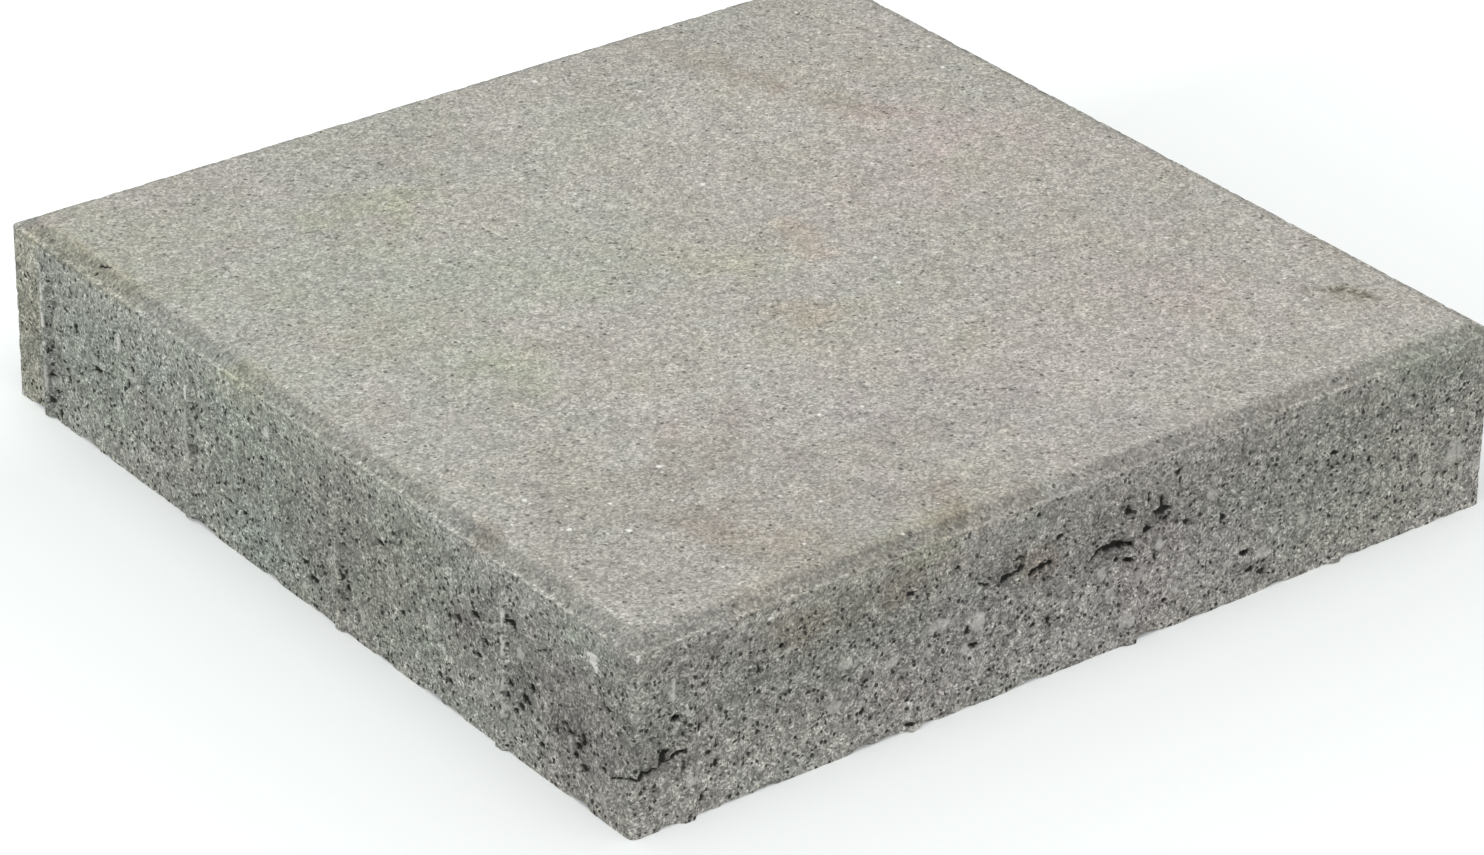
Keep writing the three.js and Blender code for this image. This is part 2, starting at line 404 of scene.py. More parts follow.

# Pale streaks on the walls, and painted highlights along the nibs' crests: half width in mm, how pale from
# 0 to 1, then (side, mm along, mm deep) points.
STREAKS_AND_NIB_HIGHLIGHTS = (
    (0.6, 1, ((3, 22.8, 19.5), (3, 23, 26))),
    (0.65, 0.95, ((3, 23.1, 32.5), (3, 22.9, 37.5))),
    (0.6, 0.8, ((3, 22, 45.5), (3, 24, 45))),
    (0.6, 0.6, ((3, 22.9, 52), (3, 23.2, 66))),
    (0.55, 1, ((3, 124.9, 20), (3, 125.1, 24.8))),
    (0.5, 0.35, ((3, 124.4, 30), (3, 124.8, 52))),
    (0.6, 0.35, ((3, 220.8, 17), (3, 221.2, 33))),
    (0.55, 0.6, ((3, 221.3, 39), (3, 222.4, 48))),
    (0.55, 0.9, ((3, 326.2, 20), (3, 326, 25.5))),
    (0.5, 0.65, ((3, 326, 30.5), (3, 326, 38))),
    (0.5, 0.5, ((3, 326.1, 46), (3, 326.1, 55))),
    (0.55, 0.45, ((3, 326.2, 58), (3, 326.4, 63))),
    (1, 0.8, ((3, 76.4, 21.5), (3, 76, 26))),
    (0.55, 0.55, ((0, 17.4, 19), (0, 17.2, 27))),
    (0.55, 1, ((0, 2.4, 4), (0, 2.5, 6.8))),
    (0.7, 0.5, ((3, 363.5, 53), (3, 365.5, 58))),
)

# Stones by side: mm along, mm deep, half width, half height in mm and how pale, from 0 to 1.
STONES = {
    3: (
        (377.4, 15.8, 2.3, 2.7, 1), (379.2, 18.6, 1.2, 1.4, 1), (375.4, 14.8, 1.4, 1, 1),
        (176.8, 17.2, 1.7, 2.2, 0.7), (86.6, 34.4, 1.5, 1.3, 0.55), (335, 34, 2.6, 2.2, 0.35),
        (131, 40, 1.6, 1.8, 0.45), (347, 58, 1.6, 1.8, 0.4), (312, 60, 5, 3.4, 0.16),
        (281, 47, 2.2, 2.6, 0.25),
    ),
    0: (
        (151.6, 42.6, 3.2, 4, 0.5), (134, 38.5, 5, 3.2, 0.25), (113, 46, 2.6, 2.6, 0.3),
        (152, 40.2, 1.6, 1.4, 0.6), (145.4, 51.5, 2.2, 2, 0.36), (208.8, 43, 2, 2.8, 0.42),
        (213.4, 53, 2.2, 2.4, 0.36), (222.6, 65.9, 4.4, 3.2, 0.24), (141.5, 38.5, 2.6, 2.2, 0.24),
        (236, 40, 2.4, 2.1, 0.42), (246, 61, 3.4, 2.6, 0.26), (288, 60.5, 3.6, 2.6, 0.34),
        (87, 55, 3.2, 2.8, 0.34), (24.5, 61, 2.6, 2.2, 0.36), (385, 50, 5.2, 4.4, 0.26),
        (62, 41, 1.6, 1.3, 0.36), (260, 27, 2.2, 2, 0.3), (380.5, 31, 0.9, 1, 1), (213.6, 3.6, 1, 0.6, 1),
        (58, 8.8, 1.1, 0.8, 1),
    ),
}

# Pale grains on the wearing face: x and y in mm, then radius in mm.
FACE_GRAINS = (
    (33.6, 180.7, 1.4), (62.3, 148.4, 1), (88.6, 110.9, 0.9), (31.4, 65.9, 1.5), (184.2, 114, 1.2),
    (175.8, 94.9, 1.1), (40.5, -43.9, 1.3), (46.2, -22.3, 0.9), (-118.1, -105.1, 1.2),
    (-153.8, -135.5, 1.3), (-170.1, -122.8, 1.2), (-48.5, -108, 0.9), (-32.2, -112.4, 0.9),
    (-170.8, -97, 1), (-147.8, -116.3, 0.9),
)

# Small pits in the wearing face: x and y in mm, radius and depth in mm.
FACE_PITS = (
    (160.4, 171.3, 1.5, 0.9), (5.3, -86.1, 1.6, 0.8), (-5.3, -28, 2, 0.7), (-18.7, -28.3, 1.5, 0.7),
    (-196.6, 143.2, 1, 1.2), (-182.4, 150.2, 1, 0.8),
)

# Cuts in the wearing face and its edge: half width and depth in mm, how dirty, then x and y in mm of
# each point.
FACE_CUTS = (
    (2.4, 0.2, 0.55, ((163.6, -139.1), (166.7, -142.3), (169.8, -144.6))),
    (2.4, 0.3, 0.9, ((168.6, -143.8), (172.4, -145.8))),
    (2.2, 0.3, 1.1, ((173.6, -149.2), (174.4, -152.3))),
    (2.2, 0.2, 0.75, ((174.4, -153.4), (176.5, -156.5), (178.4, -158.9))),
    (1, 1.6, 0.6, ((-193.7, 144.2), (-192.2, 140.5))),
)

# What a stain does to red, green and blue.
TINTS = {
    "olive": (0.98, 0.995, 0.91),
    "straw": (1.06, 1.01, 0.94),
    "ochre": (1.01, 0.965, 0.92),
    "rose": (1.025, 0.98, 1.01),
    "lilac": (0.985, 0.965, 1.0),
    "green": (0.965, 1.01, 0.975),
    "cool": (0.97, 1.00, 1.03),
    "brown": (0.82, 0.77, 0.73),
    "dark": (0.72, 0.72, 0.72),
    "soot": (0.58, 0.565, 0.53),
    "pale": (1.12, 1.12, 1.12),
}

# Stains on the wearing face, and broad washes, darker towards the front and paler towards the back and
# middle: tint, strength, x and y, half length and half width in mm, turn in degrees.
FACE_STAINS = (
    ("olive", 1, -88, 126, 40, 17, 5), ("olive", 0.9, -112, -14, 20, 20, 0),
    ("olive", 0.5, -182, 160, 34, 40, 0), ("green", 0.8, -140, 60, 66, 84, -20),
    ("green", 0.6, -60, 60, 60, 50, 0), ("cool", 0.5, -178, -20, 30, 60, 0),
    ("rose", 1.2, -193, 187, 12, 10, 0), ("rose", 1, 145, 60, 30, 62, 20),
    ("rose", 0.7, 80, 20, 60, 40, 30), ("rose", 0.7, 110, -95, 50, 26, -35),
    ("rose", 0.8, -66, -98, 54, 28, 0), ("ochre", 1.3, 34, 10, 13, 20, 0),
    ("ochre", 1.3, 2, -46, 26, 14, 0), ("ochre", 0.7, -120, -176, 18, 24, 10),
    ("olive", 0.8, 0, 10, 24, 24, 0), ("olive", 1, -65, -189, 26, 9, 0),
    ("brown", 0.55, 102, 148, 14, 44, 12), ("brown", 0.7, 123, 94, 11, 30, 25),
    ("brown", 0.35, 171, -149, 24, 12, -52), ("olive", 0.7, 174.5, -148, 14, 10, -52),
    ("brown", 0.7, -126, -148, 18, 18, 20), ("brown", 0.65, -54, -182, 15, 13, 0),
    ("brown", 0.32, -112, -173, 13, 10, 0), ("brown", 0.45, -98, -102, 38, 20, 30),
    ("brown", 0.3, -28, -138, 18, 14, 0), ("dark", 0.3, -120, -150, 120, 80, -20),
    ("dark", 0.23, 20, -184, 170, 18, 0), ("dark", 0.15, 24, -142, 42, 26, 0),
    ("pale", 0.3, 110, 110, 70, 70, 0), ("lilac", 0.7, 20, -140, 120, 45, 0),
    ("pale", 0.25, -20, 168, 80, 26, 0), ("cool", 0.5, 30, -165, 50, 30, 0),
    ("brown", 0.2, -8, -32, 12, 9, 0), ("pale", 0.3, 10, 100, 110, 90, 0),
    ("pale", 0.2, 100, 30, 90, 90, 0),
)

# Stains by side, broad paler and darker washes, and painted shade and light down the nibs' flanks: tint,
# strength, mm along, mm deep, half width and half height in mm.
SIDE_STAINS_AND_PAINTED_LIGHT = {
    3: (
        ("pale", 0.3, 170, 36, 260, 80), ("pale", 0.35, 80, 42, 130, 60), ("pale", 0.4, 170, 10, 300, 30),
        ("pale", 0.7, 170, 6.5, 300, 5.5), ("pale", 0.5, 170, 17, 300, 14),
        # Dark rows at 26.2, 27, 127.5 and 227.5 mm: painted shade on the nibs' flanks; pale at 119 and 220:
        # painted light.
        ("dark", 0.45, 38, 4.2, 17, 1.6), ("straw", 1, 10, 42, 12.5, 60), ("dark", 0.75, 26.2, 50, 3, 46),
        ("dark", 0.6, 27, 64, 7, 15), ("green", 0.6, 64, 42, 34, 30), ("cool", 0.6, 96, 24, 14, 14),
        ("pale", 0.5, 70, 40, 60, 50), ("dark", 0.3, 127.5, 36, 3.4, 36), ("pale", 0.5, 132, 12, 5, 10),
        ("pale", 0.7, 119, 40, 3.5, 40), ("dark", 0.6, 227.5, 34, 3.4, 44), ("pale", 0.6, 220, 30, 3.5, 36),
        ("brown", 0.4, 225, 62, 3, 18), ("green", 0.8, 200, 34, 110, 60), ("cool", 0.6, 172, 64, 34, 14),
        ("green", 0.5, 262, 44, 40, 40), ("dark", 0.15, 240, 40, 70, 50), ("rose", 0.6, 302, 38, 15, 11),
        ("dark", 0.75, 302, 38, 14, 9), ("dark", 0.95, 335, 48, 12, 11), ("dark", 0.8, 366, 50, 12, 14),
        ("rose", 0.5, 372, 44, 34, 34), ("dark", 0.5, 374, 46, 34, 30), ("pale", 0.3, 314, 61, 15, 10),
        ("straw", 0.35, 155, 9, 22, 8), ("green", 0.8, 372, 12, 24, 8),
    ),
    0: (
        ("dark", 0.16, 200, 36, 300, 80), ("pale", 0.45, 200, 5.5, 400, 3), ("pale", 0.6, 200, 5, 400, 1.9),
        ("dark", 0.22, 200, 18, 400, 20), ("dark", 0.35, 15, 9, 30, 10), ("dark", 0.25, 120, 9, 10, 8),
        ("dark", 0.2, 178, 9, 10, 7), ("pale", 0.25, 330, 8, 60, 8), ("green", 1, 375, 8, 30, 12),
        ("green", 0.6, 14, 32, 14, 16), ("dark", 0.3, 12, 34, 14, 22), ("dark", 0.8, 8, 50, 12, 7),
        ("ochre", 0.6, 95, 16, 60, 14), ("olive", 0.9, 128, 7.5, 16, 5), ("brown", 0.7, 117, 17, 12, 9),
        ("brown", 0.6, 72, 17, 14, 8), ("ochre", 0.6, 176, 28, 16, 9), ("brown", 0.5, 178, 28, 13, 8),
        ("dark", 0.8, 163, 28, 8, 6), ("dark", 0.9, 213, 34, 11, 7), ("dark", 0.9, 235, 26, 7, 10),
        ("dark", 0.25, 200, 30, 60, 16), ("lilac", 0.8, 190, 52, 120, 30), ("green", 0.8, 350, 40, 66, 44),
        ("pale", 0.25, 205, 58, 60, 18), ("dark", 0.6, 284, 68, 12, 7), ("dark", 0.15, 60, 30, 50, 30),
    ),
}

# Stains that follow the stamped edge, by side: tint, strength, from and to in mm along.
EDGE_STAINS = {
    3: (
        ("straw", 0.45, 10, 86), ("olive", 0.35, 14, 80), ("straw", 0.35, 148, 170),
        ("olive", 0.6, 150, 168), ("brown", 0.25, 61, 78), ("brown", 0.25, 32, 43),
        ("brown", 0.7, 305, 312), ("pale", 0.9, 318, 325),
    ),
    0: (
        ("dark", 0.12, 0, 400), ("green", 0.6, 340, 400), ("ochre", 0.4, 50, 180),
    ),
}


def all_hollows(shape, relief):
    """The planned hollows, and unplanned ones: (centre, side, half width, half height, depth)."""
    rows = each(HOLLOWS)
    pitted = random.Random(relief.seed)
    for side, count, widest in UNPLANNED_HOLLOWS:
        for _ in range(count):
            size = pitted.uniform(0.7, 1.0) if pitted.random() < 0.6 else pitted.uniform(0.9, widest)
            along, depth = pitted.uniform(6, 394), pitted.uniform(15, 75)
            stretch, deep = pitted.uniform(0.7, 1.4), pitted.uniform(0.8, 1.2)
            rows.append((side, along, depth, size, size * stretch, size * deep))
    return [(spot(shape, s, a, d), s, w * MM, h * MM, deep * MM) for s, a, d, w, h, deep in rows]


def all_tears(shape, relief):
    """The planned tears, and unplanned ones on the two far sides: (points, width, depth)."""
    torn = random.Random(relief.seed + 1)
    rows = list(TEARS)
    for side in (1, 2):
        for _ in range(4):
            along, depth = torn.uniform(30, 350), torn.uniform(26, 60)
            points = []
            for _ in range(torn.randint(3, 5)):
                points.append((side, along, depth))
                along += torn.uniform(3, 5)
                depth += torn.uniform(-2, 2)
            rows.append((torn.uniform(0.7, 1.3), torn.uniform(1.4, 2.4), points))
    return [([spot(shape, *point) for point in path], w * MM, deep * MM) for w, deep, path in rows]


def all_streaks_and_nib_highlights(shape, relief):
    """The planned streaks and painted nib highlights, and unplanned highlights on the far sides' nibs:
    (points, half width, tone).
    """
    brightened = random.Random(relief.seed + 2)
    rows = list(STREAKS_AND_NIB_HIGHLIGHTS)
    # Painted highlights along the lit edge of each far-side nib's crest.
    for side in (1, 2):
        for centre in nib_centres(shape):
            along, depth = centre / MM - brightened.uniform(1.2, 2.0), brightened.uniform(18, 30)
            width, tone = brightened.uniform(0.4, 0.7), brightened.uniform(0.3, 0.8)
            end = (side, along + 0.4, depth + brightened.uniform(6, 22))
            rows.append((width, tone, ((side, along, depth), end)))
    return [([spot(shape, *point) for point in path], w * MM, tone) for w, tone, path in rows]


def path_distance(places, path):
    """For each place, its distance from the nearest stretch of a path."""
    nearest = np.full(len(places), np.inf)
    for a, b in zip(path, path[1:]):
        a, step = np.array(a), np.array(b - a)
        share = np.clip((places - a) @ step / max(step @ step, NEAR * NEAR), 0, 1)
        nearest = np.minimum(nearest, np.linalg.norm(places - a - share[:, None] * step, axis=1))
    return nearest


def oval_distance(places, centre, side, half_width, half_height):
    """For each place, its distance from a centre on a side, 1 on the oval's edge."""
    local = (places - np.array(centre)) @ np.array(turn(side))
    return np.linalg.norm(local / (half_width, half_width, half_height), axis=1)


def face_distance(places, points):
    """For each place on the wearing face or its edge, its level distance from a point or a path there."""
    level = [Vector((x * MM, y * MM)) for x, y in points]
    distance = path_distance(places[:, :2], level if len(level) > 1 else level * 2)
    return np.where(places[:, 2] > HIGH.z - TOP_BAND, distance, np.inf)


def fade(distance, edge, soft):
    """1 inside edge, easing to 0 at edge + soft."""
    share = np.clip((edge + soft - distance) / soft, 0, 1)
    return share * share * (3 - 2 * share)


def ripple(places, size, seed):
    """Seeded smooth noise about 0 for each place, with bumps of the given size."""
    shift = Vector((seed * 3.17, seed * 1.31, seed * 2.23))
    return np.array([noise.noise(Vector(place) / size + shift) for place in places])


# --- relief


def vectors(mesh, name):
    """The places ("co") or normals ("normal") of the mesh's vertices, as an array."""
    flat = np.empty(len(mesh.vertices) * 3)
    mesh.vertices.foreach_get(name, flat)
    return flat.reshape(-1, 3)


def weigh(obj, name, weights):
    """A vertex group with one weight for each vertex."""
    group = obj.vertex_groups.new(name=name)
    for index, weight in enumerate(weights):
        if weight > LEAST_WEIGHT:
            group.add([index], float(weight), "REPLACE")


def roughen(obj, name, group, strength, size_mm, detail, basis, middle=0.5, steps=()):
    """Moves the surface along its normals by clouds, and applies it. steps turn the clouds into pits."""
    pattern = bpy.data.textures.new(name, "CLOUDS")
    pattern.noise_scale = size_mm * MM
    pattern.noise_depth = detail
    pattern.noise_basis = basis
    pattern.noise_type = "SOFT_NOISE"
    pattern.use_color_ramp = bool(steps)
    for level, step in enumerate(steps):
        element = pattern.color_ramp.elements[level]
        element.position = step
        element.color = (level, level, level, 1)
    move = obj.modifiers.new(name, "DISPLACE")
    move.texture = pattern
    move.texture_coords = "LOCAL"
    move.direction = "NORMAL"
    move.mid_level = middle
    move.strength = strength
    move.vertex_group = group
    bpy.ops.object.modifier_apply(modifier=move.name)


def press_marks(flat, shape, relief):
    """How deep each place is pressed in by the hollows, tears, pits and cuts."""
    stray = ripple(flat, 1.9 * MM, relief.seed)
    sway = ripple(flat, 3.6 * MM, relief.seed + 5)
    pressed = np.zeros(len(flat))
    for centre, side, half_width, half_height, deep in all_hollows(shape, relief):
        distance = oval_distance(flat, centre, side, half_width, half_height) + 0.5 * stray
        pressed = np.maximum(pressed, deep * fade(distance, 0.75, 0.6))
    for path, width, deep in all_tears(shape, relief):
        distance = path_distance(flat, path) / (width * (1 + 0.9 * sway)) + 0.5 * stray
        pressed = np.maximum(pressed, deep * fade(distance, 0.4, 0.6))
    for x, y, radius, deep in FACE_PITS:
        distance = face_distance(flat, [(x, y)]) / (radius * MM) + 0.5 * stray
        pressed = np.maximum(pressed, deep * MM * fade(distance, 0.3, 0.8))
    for half_width, deep, _dirt, path in FACE_CUTS:
        distance = face_distance(flat, path) / (half_width * MM) + 0.6 * stray
        pressed = np.maximum(pressed, deep * MM * fade(distance, 0.2, 0.8))
    return pressed


def pale_marks(flat, shape, relief):
    """How pale each place is: stones, grains, streaks and the painted highlights on the nibs."""
    stray = ripple(flat, 1.6 * MM, relief.seed + 8)
    pale = np.zeros(len(flat))
    for side, along, down, half_width, half_height, tone in each(STONES):
        centre = spot(shape, side, along, down)
        distance = oval_distance(flat, centre, side, half_width * MM, half_height * MM) + 0.45 * stray
        pale = np.maximum(pale, tone * fade(distance, 0.85, 0.2))
    # Streaks, among them painted highlights along the nibs' crests.
    for path, half_width, tone in all_streaks_and_nib_highlights(shape, relief):
        distance = path_distance(flat, path) / half_width + 1.3 * stray
        pale = np.maximum(pale, tone * fade(distance, 0.8, 0.8))
    for x, y, radius in FACE_GRAINS:
        distance = face_distance(flat, [(x, y)]) / (radius * MM) + 0.4 * stray
        pale = np.maximum(pale, fade(distance, 0.6, 0.4))
    return pale


def stain_and_painted_light_colours(flat, shape, relief):
    """What the stains, and the painted shade and light on the nibs, multiply the concrete's colour by at each
    place.
    """
    colours = np.ones((len(flat), 4))
    depth = (shape.thickness - flat[:, 2]) / MM
    wobble = ripple(flat, 14 * MM, relief.seed + 11) + 0.5 * ripple(flat, 6 * MM, relief.seed + 12)

    def stain(tint, weight):
        colours[:, :3] *= 1 + weight[:, None] * (np.array(TINTS[tint]) - 1)

    on_face = fade(depth, 0.5, 4)
    for tint, strength, x, y, half_length, half_width, degrees in FACE_STAINS:
        across = flat[:, :2] / MM - np.array((x, y))
        angle = math.radians(degrees)
        u = across @ np.array((math.cos(angle), math.sin(angle)))
        v = across @ np.array((-math.sin(angle), math.cos(angle)))
        distance = np.hypot(u / half_length, v / half_width) + 0.7 * wobble
        stain(tint, strength * on_face * fade(distance, 0.15, 1.0))
    stray = ripple(flat, 1.9 * MM, relief.seed + 13)
    for half_width, _deep, dirt, path in FACE_CUTS:
        distance = face_distance(flat, path) / (half_width * MM) + 1.6 * stray
        stain("soot", dirt * fade(distance, 0.3, 0.9))
    # Side stains and washes, with painted shade on the nibs' shaded flanks and painted light on their lit
    # ones.
    for side, tint, strength, along, down, half_width, half_height in each(SIDE_STAINS_AND_PAINTED_LIGHT):
        centre = spot(shape, side, along, down)
        distance = oval_distance(flat, centre, side, half_width * MM, half_height * MM) + 0.25 * wobble
        stain(tint, strength * (1 - on_face) * fade(distance, 0.55, 0.5))
    for side, tint, strength, start, end in each(EDGE_STAINS):
        local = flat @ np.array(turn(side))
        along = (local[:, 0] + shape.width / 2) / MM + 8 * wobble
        inward = (local[:, 1] + shape.width / 2) / MM
        ends = fade(start - along, 0, 4) * fade(along - end, 0, 4)
        stain(tint, strength * ends * fade(depth, 5, 2) * fade(inward, 8, 5))
    return colours


def give_relief(obj, shape, relief):
    """Waves, lumps, pores and marks, and what the finish needs of them as attributes, painted shade in
    hollows too.
    """
    mesh = obj.data
    flat, outward = vectors(mesh, "co"), vectors(mesh, "normal")
    half, proud = shape.width / 2, shape.nib_proud
    depth = (shape.thickness - flat[:, 2]) / MM
    wall = np.clip((depth - 4.6) / 0.8, 0, 1) * np.clip(1.4 - abs(outward[:, 2]), 0, 1)
    weigh(obj, "wall", wall * np.interp(depth, (4, 10, 20, 64, 77), (0.2, 0.55, 1.0, 1.0, 0.4)))
    weigh(obj, "wall_even", wall)
    weigh(obj, "face", depth < 0.4)
    weigh(obj, "edge", (depth >= 0.1) & (depth < 6))
    weigh(obj, "bed", depth > shape.thickness / MM - 0.5)

    roughen(obj, "wave", "wall_even", relief.wave, 38, 1, "ORIGINAL_PERLIN", 0.55)
    roughen(obj, "face_wave", "face", relief.face_wave, 60, 1, "ORIGINAL_PERLIN", 1.0)
    before = vectors(mesh, "co")
    roughen(obj, "lump", "wall", relief.lump, 6, 2, "IMPROVED_PERLIN", 0.62)
    roughen(obj, "pore", "wall", relief.pore, 3.2, 2, "BLENDER_ORIGINAL", 1.0, (0.3, 0.42))
    roughen(obj, "grit", "wall", relief.grit, 2.1, 1, "BLENDER_ORIGINAL")
    roughen(obj, "wear", "edge", relief.edge_wear, 5, 2, "IMPROVED_PERLIN", 1.0, (0.28, 0.5))
    roughen(obj, "bed_pit", "bed", relief.bed_pit, 14, 3, "BLENDER_ORIGINAL", 1.0, (0.3, 0.5))

    # Marks are placed on the plain wall, so a nib counts as lying in its plane.
    plane = flat.copy()
    plane[:, :2] = np.clip(flat[:, :2], -half, half)
    pressed = press_marks(plane, shape, relief)
    places = vectors(mesh, "co")
    sunk = np.sum((before - places) * outward, axis=1)
    places -= outward * pressed[:, None]
    places[:, :2] = np.clip(places[:, :2], -half - proud, half + proud)
    places[:, 2] = np.clip(places[:, 2], 0, shape.thickness)
    mesh.vertices.foreach_set("co", places.ravel())

    # Painted shade: how far each place is sunk by the roughening and the marks darkens it in the finish.
    cavity = np.clip(np.maximum(sunk / (1.9 * MM), pressed / (1.1 * MM)), 0, 1)
    for name, values in (("cavity", cavity), ("pale", pale_marks(plane, shape, relief))):
        mesh.attributes.new(name, "FLOAT", "POINT").data.foreach_set("value", values.astype(np.float32))
    stains_and_painted_light = stain_and_painted_light_colours(plane, shape, relief).astype(np.float32)
    mesh.attributes.new("stain", "FLOAT_COLOR", "POINT").data.foreach_set("color", stains_and_painted_light.ravel())
    mesh.update()
    obj.vertex_groups.clear()


def refine_marks(shape, relief):
    """Divides the mesh round every mark more finely, so that each has a clear edge."""
    near = []
    for centre, _side, half_width, half_height, _deep in all_hollows(shape, relief):
        near.append((centre, 1.1 * max(half_width, half_height)))
    for path, width, _ in all_tears(shape, relief) + all_streaks_and_nib_highlights(shape, relief):
        for a, b in zip(path, path[1:]):
            steps = max(1, round((b - a).length / (1.2 * MM)))
            near += [(a.lerp(b, i / steps), 1.1 * width) for i in range(steps + 1)]
    for side, along, down, half_width, half_height, _tone in each(STONES):
        near.append((spot(shape, side, along, down), max(half_width, half_height) * MM))
    cells = {}
    cell = 6 * MM
    for centre, reach in near:
        key = tuple(round(c / cell) for c in centre)
        cells.setdefault(key, []).append((centre, reach + shape.side_pitch * 0.5))
    half = shape.width / 2

    def is_near(face):
        centre = face.calc_center_median()
        centre.x, centre.y = (min(max(c, -half), half) for c in (centre.x, centre.y))
        i, j, k = (round(c / cell) for c in centre)
        around = itertools.product((i - 1, i, i + 1), (j - 1, j, j + 1), (k - 1, k, k + 1))
        return any((p - centre).length < reach for key in around for p, reach in cells.get(key, ()))

    pick("faces", is_near)
    bpy.ops.mesh.subdivide(number_cuts=2)
    points = [Vector((x * MM, y * MM)) for x, y, *_ in FACE_GRAINS + FACE_PITS]
    for *_, path in FACE_CUTS:
        for a, b in zip(path, path[1:]):
            points += [Vector(a).lerp(Vector(b), i / 2) * MM for i in range(3)]

    def near_point(face):
        centre = face.calc_center_median()
        on_top = centre.z > shape.thickness - 5 * MM
        return on_top and any((centre.xy - p).length < 0.8 * shape.face_pitch for p in points)

    for cuts in (3, 1):
        pick("faces", near_point)
        bpy.ops.mesh.subdivide(number_cuts=cuts)


# --- finishes

EASED = {"interpolation_type": "SMOOTHSTEP"}  # how a Map Range passes from one limit to the other


class Recipe:
    """A node tree that is being filled, with the steps that the finishes are made of."""

    def __init__(self, owner):
        owner.use_nodes = True
        self.tree = owner.node_tree
        self.tree.nodes.clear()

    def add(self, kind, *inputs, named=None, **settings):
        """Adds a shader node. Its inputs, in order or by name, are numbers, colours, nodes or outputs."""
        node = self.tree.nodes.new("ShaderNode" + kind)
        for name, value in settings.items():
            setattr(node, name, value)
        for name, value in (*enumerate(inputs), *(named or {}).items()):
            socket = node.inputs[name]
            if isinstance(value, bpy.types.Node):
                value = value.outputs[0]
            if isinstance(value, bpy.types.NodeSocket):
                self.tree.links.new(value, socket)
            elif socket.type == "RGBA":
                socket.default_value = (*value, 1.0)
            else:
                socket.default_value = value
        return node

    @functools.cached_property
    def place(self):
        """Where a point of the surface lies, in metres."""
        return self.add("TexCoord").outputs["Object"]

    def sum_of(self, *terms, start=0.0):
        """start and the (value, factor) products added up."""
        total = start
        for value, factor in terms:
            total = self.add("Math", value, factor, total, operation="MULTIPLY_ADD")
        return total

    def times(self, product, *factors):
        """Several values multiplied."""
        for factor in factors:
            product = self.add("Math", product, factor, operation="MULTIPLY")
        return product

    def reach(self, x, y):
        """The greater of x and y, whichever way they point."""
        across, along = (self.add("Math", value, operation="ABSOLUTE") for value in (x, y))
        return self.add("Math", across, along, operation="MAXIMUM")

    def clouds(self, size_mm, detail, roughness, shift):
        """Smooth noise about 0."""
        named = {"Vector": self.place, "W": shift, "Scale": 1 / (size_mm * MM)}
        named |= {"Detail": detail, "Roughness": roughness}
        pattern = self.add("TexNoise", named=named, noise_dimensions="4D")
        return self.sum_of((pattern, 1.0), start=-0.5)

    def bent(self, size_mm, reach_mm):
        """The place moved about by noise, so that cells lose their even outlines."""
        named = {"Vector": self.place, "Scale": 1 / (size_mm * MM), "Detail": 1.0}
        stray = self.add("TexNoise", named=named).outputs["Color"]
        middle = self.add("VectorMath", stray, (0.5, 0.5, 0.5), operation="SUBTRACT")
        reach = {"Scale": reach_mm * MM}
        moved = self.add("VectorMath", middle, named=reach, operation="SCALE")
        return self.add("VectorMath", self.place, moved, operation="ADD")

    def cells(self, size_mm, place=None):
        """Cells of a size: the distance from each one's middle, and two random numbers of its own."""
        named = {"Vector": place or self.place, "Scale": 1 / (size_mm * MM), "Randomness": 1.0}
        pattern = self.add("TexVoronoi", named=named, feature="F1").outputs
        picks = self.add("SeparateColor", pattern["Color"]).outputs
        return pattern["Distance"], picks[0], picks[1]

    def spots(self, distance, chance, share, widest, inner, outer):
        """A soft-edged spot in each cell whose chance is above share, growing with it to widest."""
        size = self.times(self.add("MapRange", chance, share, 1.0, **EASED), widest)
        inside = self.sum_of((distance, -1.0), start=size)
        return self.add("MapRange", inside, inner, outer, **EASED)

    def layered(self, colour, *coats):
        """A colour under coats given as (share, colour, how they blend)."""
        for share, coat, blend in coats:
            named = {0: share, 6: colour, 7: coat}
            mixed = self.add("Mix", named=named, data_type="RGBA", blend_type=blend)
            colour = mixed.outputs[2]
        return colour


